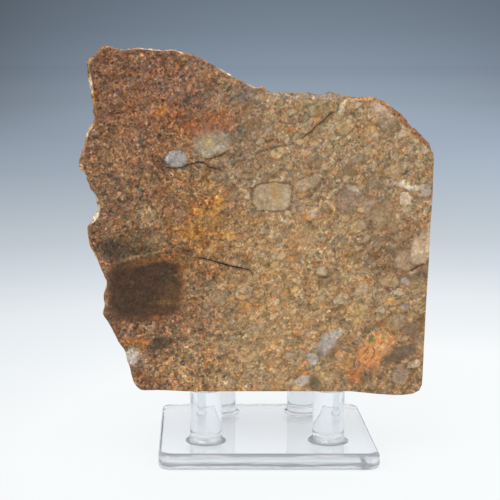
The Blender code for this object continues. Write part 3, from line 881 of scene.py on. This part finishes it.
def groove_points(width, depth, dark, points):
    """Five chains of a crack: each point as place in mm, drop in mm and crack value."""
    line = smooth_line(points, CRACK_STEP)
    chains = [[], [], [], [], []]
    last = len(line) - 1
    for i, centre in enumerate(line):
        ahead = line[min(last, i + 1)] - line[max(0, i - 1)]
        side = Vector((-ahead.y, ahead.x)).normalized()
        taper = math.sin(math.pi * min(1.0, max(0.0, i / last))) ** 0.45 if 0 < i < last else 0.0
        wander = noise.noise(Vector((centre.x, 0.0, centre.y)) / 0.9) if 0 < i < last else 0.0
        middle = centre + side * 0.14 * wander
        swell = 1 + 0.5 * noise.noise(Vector((centre.x, 5.0, centre.y)) / 1.7)
        half = width / 2 * taper * swell
        if i in (0, last):
            for chain in chains:
                chain.append((middle, 0.0, 0.0))
            continue
        shoulder = SHOULDER * dark
        chains[0].append((middle - side * (half + CRACK_HALO * taper), 0.0, 0.0))
        chains[1].append((middle - side * half, 0.0, shoulder))
        chains[2].append((middle, depth * taper * swell, SHOULDER + (1 - SHOULDER) * dark))
        chains[3].append((middle + side * half, 0.0, shoulder))
        chains[4].append((middle + side * (half + CRACK_HALO * taper), 0.0, 0.0))
    return chains


def fill_face(bm, look, loop, cracks, back):
    """Close a sawn face with triangles, with grooves along its cracks."""
    step = look.face_step * (1.6 if back else 1.0)
    edge = [Vector((vert.co.x, vert.co.z)) for vert in loop]
    points = list(edge)
    drops = [0.0] * len(edge)
    values = [0.0] * len(edge)
    edges = [(i, (i + 1) % len(edge)) for i in range(len(edge))]
    taken = []
    for crack in cracks:
        first_index = last_index = None
        for chain in groove_points(*crack):
            indices = []
            for k, (spot, drop, value) in enumerate(chain):
                end = k in (0, len(chain) - 1)
                known = first_index if k == 0 else last_index
                if end and known is not None:
                    indices.append(known)
                    continue
                indices.append(len(points))
                points.append(Vector((spot.x * MM, look.base_z + spot.y * MM)))
                drops.append(drop * MM)
                values.append(value)
                taken.append(points[-1])
            first_index, last_index = indices[0], indices[-1]
            edges += list(zip(indices, indices[1:]))
    low = Vector((min(p.x for p in edge), min(p.y for p in edge)))
    high = Vector((max(p.x for p in edge), max(p.y for p in edge)))
    rows = int((high.y - low.y) / (step * 0.866)) + 1
    columns = int((high.x - low.x) / step) + 1
    guard = step * 0.5
    crowd = {}
    for spot in taken + edge:
        crowd.setdefault((int(spot.x / step), int(spot.y / step)), []).append(spot)
    for row in range(rows):
        for column in range(columns):
            spot = Vector((low.x + (column + 0.5 * (row % 2)) * step,
                           low.y + row * 0.866 * step))
            key = (int(spot.x / step), int(spot.y / step))
            near = [other for i in (-1, 0, 1) for j in (-1, 0, 1)
                    for other in crowd.get((key[0] + i, key[1] + j), ())]
            if any((other - spot).length < guard for other in near):
                continue
            points.append(spot)
            drops.append(0.0)
            values.append(0.0)
    result = delaunay_2d_cdt(points, edges, [], 1, 1e-9)
    out_points, _, triangles, origins = result[0], result[1], result[2], result[3]
    layer = bm.verts.layers.float["crack"]
    y = loop[0].co.y
    towards = -1.0 if back else 1.0
    verts = []
    for spot, origin in zip(out_points, origins):
        source = min(origin) if origin else None
        if source is not None and source < len(edge):
            verts.append(loop[source])
            continue
        drop = drops[source] if source is not None else 0.0
        vert = bm.verts.new((spot.x, y + towards * drop, spot.y))
        vert[layer] = values[source] if source is not None else 0.0
        verts.append(vert)
    for triangle in triangles:
        corners = [verts[i] for i in triangle]
        try:
            bm.faces.new(corners if back else corners)
        except ValueError:
            continue


def build_slab(look):
    """The whole stone as one closed surface."""
    bm = bmesh.new()
    rough_layer = bm.verts.layers.float.new("rough")
    bm.verts.layers.float.new("crack")
    outline = face_outline(look.edge_step)
    rings = rim_rings(look, outline)
    loops = []
    for ring in rings:
        loop = []
        for spot, (_, _, lip) in zip(ring, outline):
            vert = bm.verts.new(spot)
            vert[rough_layer] = min(1.0, lip / FULL_LIP)
            loop.append(vert)
        loops.append(loop)
    count = len(outline)
    for near, far in zip(loops, loops[1:]):
        for i in range(count):
            j = (i + 1) % count
            bm.faces.new((near[i], near[j], far[j], far[i]))
    bm.normal_update()
    depths = rim_depths(look)
    pushes = []
    for depth, loop in zip(depths, loops):
        fade = min(1.0, max(0.0, (depth - 0.3 * MM) / (1.8 * MM)))
        fade = min(fade, max(0.0, (look.thickness - depth) / (1.2 * MM)))
        for vert in loop:
            amount = crumbs(vert.co) * fade * vert[rough_layer]
            saw = 0.02 * MM * noise.noise(vert.co / (1.4 * MM)) * fade * (1 - vert[rough_layer])
            pushes.append((vert, vert.normal * (amount + saw)))
    middle = Vector((SLAB_MIDDLE[0], 0.0, look.base_z + SLAB_MIDDLE[1]))
    for vert, push in pushes:
        outwards = 1.0 if push.length == 0 else 1.0
        vert.co += push * outwards * normal_sign(vert, middle)
    fill_face(bm, look, loops[0], CRACKS, back=False)
    fill_face(bm, look, loops[-1], (), back=True)
    bmesh.ops.recalc_face_normals(bm, faces=bm.faces)
    for face in bm.faces:
        face.smooth = True
    front_y, back_y = look.front_y, look.front_y + look.thickness
    for edge in bm.edges:
        on_rim = all(abs(vert.co.y - front_y) < 1e-7 for vert in edge.verts) or all(
            abs(vert.co.y - back_y) < 1e-7 for vert in edge.verts)
        if on_rim and len(edge.link_faces) == 2:
            first, second = edge.link_faces
            if first.normal.dot(second.normal) < 0.9:
                edge.smooth = False
    return bm


def normal_sign(vert, middle):
    """1 where a rim point's normal leads away from the slab's middle, otherwise -1."""
    away = vert.co - middle
    return 1.0 if vert.normal.x * away.x + vert.normal.z * away.z >= 0 else -1.0


def rounded_rectangle(width, depth, radius, corner_steps):
    """Points of a rounded rectangle in X and Y, counter-clockwise seen from above."""
    points = []
    for corner, (sx, sy) in enumerate(((1, 1), (-1, 1), (-1, -1), (1, -1))):
        centre = Vector((sx * (width / 2 - radius), sy * (depth / 2 - radius)))
        for step in range(corner_steps + 1):
            angle = math.radians(90) * (corner + step / corner_steps)
            points.append(centre + radius * Vector((math.cos(angle), math.sin(angle))))
    return points


def peg_places(look):
    return ((-look.front_peg_x, look.front_peg_y), (look.front_peg_x, look.front_peg_y),
            (-look.back_peg_x, look.back_peg_y), (look.back_peg_x, look.back_peg_y))


def build_plate(look):
    """The plate, with round openings in its top where the pegs' feet join it."""
    levels = []
    steps = 6
    for step in range(steps + 1):
        angle = math.radians(90) * step / steps
        levels.append((look.bottom_fillet * (1 - math.sin(angle)),
                       look.bottom_fillet * (1 - math.cos(angle))))
    steps = 10
    for step in range(steps + 1):
        angle = math.radians(90) * step / steps
        levels.append((look.top_fillet * (1 - math.cos(angle)),
                       look.plate_height - look.top_fillet * (1 - math.sin(angle))))
    bm = bmesh.new()
    loops = []
    for inset, height in levels:
        outline = rounded_rectangle(
            look.plate_width - 2 * inset, look.plate_depth - 2 * inset,
            look.corner_radius - inset, 10)
        loops.append([bm.verts.new((spot.x, spot.y, height)) for spot in outline])
    count = len(loops[0])
    for lower, upper in zip(loops, loops[1:]):
        for i in range(count):
            j = (i + 1) % count
            bm.faces.new((lower[i], lower[j], upper[j], upper[i]))
    bm.faces.new(loops[0][::-1])
    edge = [vert.co.xy for vert in loops[-1]]
    points = [Vector(spot) for spot in edge]
    edges = [(i, (i + 1) % count) for i in range(count)]
    known = list(loops[-1])
    for x, y in peg_places(look):
        start = len(points)
        for side in range(look.peg_sides):
            angle = math.tau * side / look.peg_sides
            spot = Vector((x + look.foot_radius * math.cos(angle),
                           y + look.foot_radius * math.sin(angle)))
            points.append(spot)
            known.append(bm.verts.new((spot.x, spot.y, look.plate_height)))
            edges.append((start + side, start + (side + 1) % look.peg_sides))
    _, _, triangles, origins, _, _ = delaunay_2d_cdt(points, edges, [], 1, 1e-9)
    for triangle in triangles:
        indices = [min(origins[i]) for i in triangle]
        rings = {(i - count) // look.peg_sides for i in indices if i >= count}
        if len(rings) == 1 and all(i >= count for i in indices):
            continue
        corners = [known[i] for i in indices]
        bm.faces.new(corners)
    return bm


PEG_INPUTS = ("Peg Radius", "Peg Height", "Peg Fillet", "Foot Radius", "Foot Height",
              "Plate Height", "Front Peg X", "Back Peg X", "Front Peg Y", "Back Peg Y")


def peg_tree(look, material):
    """Geometry Nodes tree that turns one flared peg and sets it at the four places."""
    tree = bpy.data.node_groups.new("display_pegs", "GeometryNodeTree")
    for name in PEG_INPUTS:
        socket = tree.interface.new_socket(
            name, in_out="INPUT", socket_type="NodeSocketFloat")
        socket.subtype = "DISTANCE"
    sides_socket = tree.interface.new_socket(
        "Sides", in_out="INPUT", socket_type="NodeSocketInt")
    sides_socket.min_value = 3
    tree.interface.new_socket(
        "Geometry", in_out="OUTPUT", socket_type="NodeSocketGeometry")
    nodes, links = tree.nodes, tree.links
    given = nodes.new("NodeGroupInput").outputs

    def add(kind, values=None, **settings):
        made = nodes.new(kind)
        for name, value in settings.items():
            setattr(made, name, value)
        for name, value in (values or {}).items():
            if isinstance(value, bpy.types.NodeSocket):
                links.new(value, made.inputs[name])
            else:
                made.inputs[name].default_value = value
        return made

    def maths(operation, *values):
        return add("ShaderNodeMath", dict(enumerate(values)), operation=operation).outputs[0]

    # A tube of rings along Z, whose radius is then set by its height
    rings = 40
    tube = add("GeometryNodeMeshCylinder",
               {"Vertices": given["Sides"], "Side Segments": rings,
                "Radius": 1.0, "Depth": 1.0},
               fill_type="NONE")
    place = add("ShaderNodeSeparateXYZ", {0: add("GeometryNodeInputPosition").outputs[0]})
    share = maths("ADD", place.outputs["Z"], 0.5)
    ring_index = maths("ROUND", maths("MULTIPLY", share, float(rings)))
    flare_rings, fillet_rings = 24.0, 8.0
    # Rings 0 to 24 climb the flare, the last 8 round the top over, and the rest fill between
    flare_share = maths("MINIMUM", maths("DIVIDE", ring_index, flare_rings), 1.0)
    turn = maths("MULTIPLY_ADD", flare_share, math.radians(70), math.radians(20))
    drop = 1 - math.sin(math.radians(20))
    flare = maths("DIVIDE", maths("SUBTRACT", 1.0, maths("SINE", turn)), drop)
    rise = maths("DIVIDE", maths("SUBTRACT", math.cos(math.radians(20)), maths("COSINE", turn)),
                 math.cos(math.radians(20)))
    top_start = float(rings) - fillet_rings
    body_share = maths("MULTIPLY", maths("SUBTRACT", ring_index, flare_rings),
                       1.0 / (top_start - flare_rings))
    body_share = maths("MINIMUM", maths("MAXIMUM", body_share, 0.0), 1.0)
    top_share = maths("MAXIMUM", maths(
        "DIVIDE", maths("SUBTRACT", ring_index, top_start), fillet_rings), 0.0)
    top_angle = maths("MULTIPLY", top_share, math.pi / 2)
    fillet_out = maths("SUBTRACT", 1.0, maths("COSINE", top_angle))
    fillet_up = maths("SINE", top_angle)
    spread = maths("SUBTRACT", given["Foot Radius"], given["Peg Radius"])
    radius = maths("MULTIPLY_ADD", spread, flare, given["Peg Radius"])
    radius = maths("SUBTRACT", radius, maths("MULTIPLY", given["Peg Fillet"], fillet_out))
    straight = maths("SUBTRACT", maths("SUBTRACT", given["Peg Height"], given["Foot Height"]),
                     given["Peg Fillet"])
    height = maths("MULTIPLY_ADD", given["Foot Height"], rise, given["Plate Height"])
    height = maths("MULTIPLY_ADD", straight, body_share, height)
    height = maths("MULTIPLY_ADD", given["Peg Fillet"], fillet_up, height)
    moved = add("ShaderNodeCombineXYZ",
                {0: maths("MULTIPLY", place.outputs["X"], radius),
                 1: maths("MULTIPLY", place.outputs["Y"], radius), 2: height})
    shaped = add("GeometryNodeSetPosition",
                 {"Geometry": tube.outputs["Mesh"], "Position": moved.outputs[0]})
    lid_height = maths("ADD", given["Plate Height"], given["Peg Height"])
    lid_place = add("ShaderNodeCombineXYZ", {2: lid_height})
    lid_radius = maths("SUBTRACT", given["Peg Radius"], given["Peg Fillet"])
    lid = add("GeometryNodeMeshCircle", {"Vertices": given["Sides"], "Radius": lid_radius},
              fill_type="NGON")
    lid = add("GeometryNodeTransform",
              {"Geometry": lid.outputs[0], "Translation": lid_place.outputs[0]})
    peg = add("GeometryNodeJoinGeometry")
    links.new(shaped.outputs[0], peg.inputs[0])
    links.new(lid.outputs[0], peg.inputs[0])
    peg = add("GeometryNodeMergeByDistance",
              {"Geometry": peg.outputs[0], "Distance": 0.002 * MM})
    # Two pegs in front and two behind
    pairs = add("GeometryNodeJoinGeometry")
    for x_name, y_name in (("Front Peg X", "Front Peg Y"), ("Back Peg X", "Back Peg Y")):
        start = add("ShaderNodeCombineXYZ",
                    {0: maths("MULTIPLY", given[x_name], -1.0), 1: given[y_name]})
        gap = add("ShaderNodeCombineXYZ", {0: maths("MULTIPLY", given[x_name], 2.0)})
        pair = add("GeometryNodeMeshLine",
                   {"Count": 2, "Start Location": start.outputs[0], "Offset": gap.outputs[0]})
        links.new(pair.outputs[0], pairs.inputs[0])
    placed = add("GeometryNodeInstanceOnPoints",
                 {"Points": pairs.outputs[0], "Instance": peg.outputs[0]})
    real = add("GeometryNodeRealizeInstances", {0: placed.outputs[0]})
    dressed = add("GeometryNodeSetMaterial", {"Geometry": real.outputs[0]})
    dressed.inputs["Material"].default_value = material
    end = nodes.new("NodeGroupOutput")
    links.new(dressed.outputs[0], end.inputs[0])
    return tree


def build_pegs(look, material):
    """The four pegs as a plain mesh, made by the Geometry Nodes tree."""
    tree = peg_tree(look, material)
    holder = bpy.data.objects.new("peg_maker", bpy.data.meshes.new("peg_maker"))
    bpy.context.scene.collection.objects.link(holder)
    modifier = holder.modifiers.new("pegs", "NODES")
    modifier.node_group = tree
    values = {
        "Peg Radius": look.peg_radius, "Peg Height": look.peg_height,
        "Peg Fillet": look.peg_fillet, "Foot Radius": look.foot_radius,
        "Foot Height": look.foot_height, "Plate Height": look.plate_height,
        "Front Peg X": look.front_peg_x, "Back Peg X": look.back_peg_x,
        "Front Peg Y": look.front_peg_y, "Back Peg Y": look.back_peg_y,
        "Sides": look.peg_sides,
    }
    for item in tree.interface.items_tree:
        if item.item_type == "SOCKET" and item.in_out == "INPUT":
            modifier[item.identifier] = values[item.name]
    graph = bpy.context.evaluated_depsgraph_get()
    mesh = bpy.data.meshes.new_from_object(holder.evaluated_get(graph), depsgraph=graph)
    holder.modifiers.clear()
    bpy.data.objects.remove(holder)
    return mesh


def build_stand(look, material):
    """Plate and pegs as one closed moulding."""
    bm = build_plate(look)
    pegs = build_pegs(look, material)
    bm.from_mesh(pegs)
    bmesh.ops.remove_doubles(bm, verts=bm.verts, dist=0.002 * MM)
    bmesh.ops.recalc_face_normals(bm, faces=bm.faces)
    open_edges = [edge for edge in bm.edges if len(edge.link_faces) != 2]
    if open_edges:
        raise RuntimeError(f"the stand isn't closed: {len(open_edges)} open edges")
    for face in bm.faces:
        face.smooth = True
    for edge in bm.edges:
        first, second = edge.link_faces
        if first.normal.angle(second.normal, 0.0) > math.radians(32):
            edge.smooth = False
    return bm


class SLAB_OT_build_stand(bpy.types.Operator):
    """Build the clear stand: a rounded plate with four flared pegs"""
    bl_idname = "slab.build_stand"
    bl_label = "Build the display stand"

    def execute(self, context):
        look = context.scene.stand_settings
        material = plastic_material(look)
        bm = build_stand(look, material)
        piece = new_piece("clear_stand", bm, material, STAND_NODE)
        weights = piece.modifiers.new("flat_faces", "WEIGHTED_NORMAL")
        weights.keep_sharp = True
        weights.weight = 100
        return {"FINISHED"}


class SLAB_OT_build_slab(bpy.types.Operator):
    """Build the stone slab with its polished face, broken rim and sawn sides"""
    bl_idname = "slab.build_slab"
    bl_label = "Build the stone slab"

    def execute(self, context):
        look = context.scene.slab_settings
        bm = build_slab(look)
        new_piece("stone_slab", bm, stone_material(look), SLAB_NODE)
        return {"FINISHED"}


class SLAB_OT_build_stage(bpy.types.Operator):
    """Set the pale floor, the soft studio light and the camera"""
    bl_idname = "slab.build_stage"
    bl_label = "Set the stage"

    def execute(self, context):
        look = context.scene.stage_settings
        build_floor(look)
        build_world(look)
        build_lights(look)
        build_camera(look)
        context.scene.view_settings.view_transform = "Standard"
        context.scene.view_settings.look = "None"
        return {"FINISHED"}


def build_floor(look):
    """A large flat floor with a painted pool of light, white round the object and blue-grey far away.
    """
    bm = bmesh.new()
    bmesh.ops.create_circle(bm, cap_ends=True, segments=128, radius=look.floor_radius)
    bmesh.ops.translate(bm, verts=bm.verts, vec=(0.0, 0.0, -FLOOR_GAP))
    for face in bm.faces:
        if face.normal.z < 0:
            face.normal_flip()
    mesh = bpy.data.meshes.new("pale_floor")
    bm.to_mesh(mesh)
    bm.free()
    floor = bpy.data.objects.new("pale_floor", mesh)
    bpy.context.scene.collection.objects.link(floor)
    material = material_called("pale_floor")
    sheet = NodeSheet(material)
    here = sheet.node("ShaderNodeTexCoord", output="Object")
    away = sheet.vector("DISTANCE", here, (0.045, 0.0, 0.0))
    share = sheet.maths("LOGARITHM", away + 0.01, 10.0)
    reach = sheet.node(
        "ShaderNodeMapRange", None,
        {"Value": share, "From Min": -1.5, "From Max": 1.0, "To Min": 0.0, "To Max": 1.0})
    # Painted light: far from the object the floor is painted lighter to the right and straight behind
    # it
    across = sheet.parts(here)[0] / (away + 0.5)
    side = across * sheet.step(away, 0.06, 0.9) * SIDE_RISE + 0.97
    side = side + middle_glow(sheet, across) * sheet.step(away, 0.6, 2.5)
    shade = sheet.mix(1.0, sheet.ramp(reach, FLOOR_STOPS), side, "MULTIPLY")
    # The base colour keeps a share of the painted tones, and the floor glows with all of them
    painted_floor_base = sheet.mix(0.72, shade, (0.0, 0.0, 0.0, 1.0))
    shader = sheet.node(
        "ShaderNodeBsdfPrincipled", None,
        {"Base Color": painted_floor_base, "Roughness": 0.9, "Specular IOR Level": 0.0,
         "Emission Color": shade, "Emission Strength": look.floor_glow})
    sheet.node("ShaderNodeOutputMaterial", None, {"Surface": shader})
    mesh.materials.append(material)


def floor_share(distance):
    """Where a distance in metres lies along the floor's colour ramp."""
    return (math.log10(distance + 0.01) + 1.5) / 2.5


FLOOR_GAP = 0.05 * MM   # keeps the floor apart from the plate's underside

SIDE_RISE = 0.65        # how much lighter the room is to the right of the object

# Distance from the object in metres, and the floor's painted tone there: a painted pool of light
FLOOR_LIGHT_POOL_TONES = (
    (0.05, (0.470, 0.485, 0.490)), (0.11, (0.468, 0.480, 0.483)),
    (0.16, (0.421, 0.440, 0.454)), (0.21, (0.398, 0.415, 0.430)),
    (0.28, (0.335, 0.361, 0.386)), (0.39, (0.275, 0.299, 0.324)),
    (0.555, (0.228, 0.257, 0.285)), (0.83, (0.187, 0.217, 0.255)),
    (1.36, (0.151, 0.180, 0.218)), (2.8, (0.117, 0.141, 0.169)),
    (12.0, (0.095, 0.115, 0.144)),
)
FLOOR_STOPS = tuple((floor_share(distance), tone) for distance, tone in FLOOR_LIGHT_POOL_TONES)


def middle_glow(sheet, across):
    """How much lighter the room is straight behind the object than at its sides."""
    off_middle = across - 0.05
    return sheet.maths("MAXIMUM", off_middle * off_middle * -8.2 + 0.25, -0.2)


def build_world(look):
    """Blue-grey room at the horizon under a wide white overhead light."""
    world = bpy.data.worlds.new("studio")
    bpy.context.scene.world = world
    sheet = NodeSheet(world)
    direction = sheet.node("ShaderNodeTexCoord", output="Generated")
    up = sheet.parts(direction)[2]
    halfway = Vector(look.sky_far).lerp(Vector(look.sky_upper), 0.55)
    room = sheet.ramp(up, (
        (0.0, look.sky_far), (0.026, halfway), (0.06, look.sky_upper), (0.08, look.sky_upper),
        (0.16, (0.94, 0.96, 1.0)), (0.75, (1.0, 1.0, 1.0))))
    across = sheet.parts(direction)[0]
    side = across * SIDE_RISE + 0.97 + middle_glow(sheet, across)
    room = sheet.mix(sheet.step(up, 0.14, 0.08), room, side, "MULTIPLY")
    light = sheet.node("ShaderNodeBackground", None, {"Color": room, "Strength": look.dome})
    sheet.node("ShaderNodeOutputWorld", None, {"Surface": light})


def build_lights(look):
    """One wide soft light from the upper left in front of the object."""
    target = Vector((0.0, 0.0, 0.055))
    for name, place, size, power in (
            ("key_softbox", (-0.55, -0.85, 0.95), 0.9, look.key_power),
            ("fill_softbox", (0.8, -0.7, 0.5), 0.9, look.key_power * 0.45)):
        light = bpy.data.lights.new(name, "AREA")
        light.shape = "SQUARE"
        light.size = size
        light.energy = power
        lamp = bpy.data.objects.new(name, light)
        bpy.context.scene.collection.objects.link(lamp)
        lamp.location = place
        lamp.rotation_euler = (target - Vector(place)).to_track_quat("-Z", "Y").to_euler()


def build_camera(look):
    """The camera at the photograph's angle."""
    camera = bpy.data.cameras.new("camera")
    camera.sensor_width = 36.0
    camera.lens = look.lens
    camera.shift_x = look.camera_shift
    camera.clip_start = 0.01
    camera.clip_end = 100.0
    holder = bpy.data.objects.new("camera", camera)
    bpy.context.scene.collection.objects.link(holder)
    holder.location = look.camera_place
    holder.rotation_euler = (math.radians(90) - look.camera_pitch, 0.0, 0.0)
    bpy.context.scene.camera = holder


class SLAB_PT_sidebar(bpy.types.Panel):
    """Lists the pieces that can be built and their settings"""
    bl_idname = "SLAB_PT_sidebar"
    bl_label = "Metaconglomerate slab"
    bl_space_type = "VIEW_3D"
    bl_region_type = "UI"
    bl_category = "Slab"

    def draw(self, context):
        scene = context.scene
        for operator, settings in (
                ("slab.build_stand", scene.stand_settings),
                ("slab.build_slab", scene.slab_settings),
                ("slab.build_stage", scene.stage_settings)):
            box = self.layout.box()
            box.operator(operator)
            for name in type(settings).__annotations__:
                box.prop(settings, name)


CLASSES = (
    StandSettings, SlabSettings, StageSettings, SLAB_OT_build_stand, SLAB_OT_build_slab,
    SLAB_OT_build_stage, SLAB_PT_sidebar)


def register():
    for entry in CLASSES:
        bpy.utils.register_class(entry)
    bpy.types.Scene.stand_settings = PointerProperty(type=StandSettings)
    bpy.types.Scene.slab_settings = PointerProperty(type=SlabSettings)
    bpy.types.Scene.stage_settings = PointerProperty(type=StageSettings)


def unregister():
    del bpy.types.Scene.stage_settings
    del bpy.types.Scene.slab_settings
    del bpy.types.Scene.stand_settings
    for entry in reversed(CLASSES):
        bpy.utils.unregister_class(entry)


def main():
    register()
    bpy.ops.slab.build_stand()
    bpy.ops.slab.build_slab()
    bpy.ops.slab.build_stage()


if __name__ == "__main__":
    main()
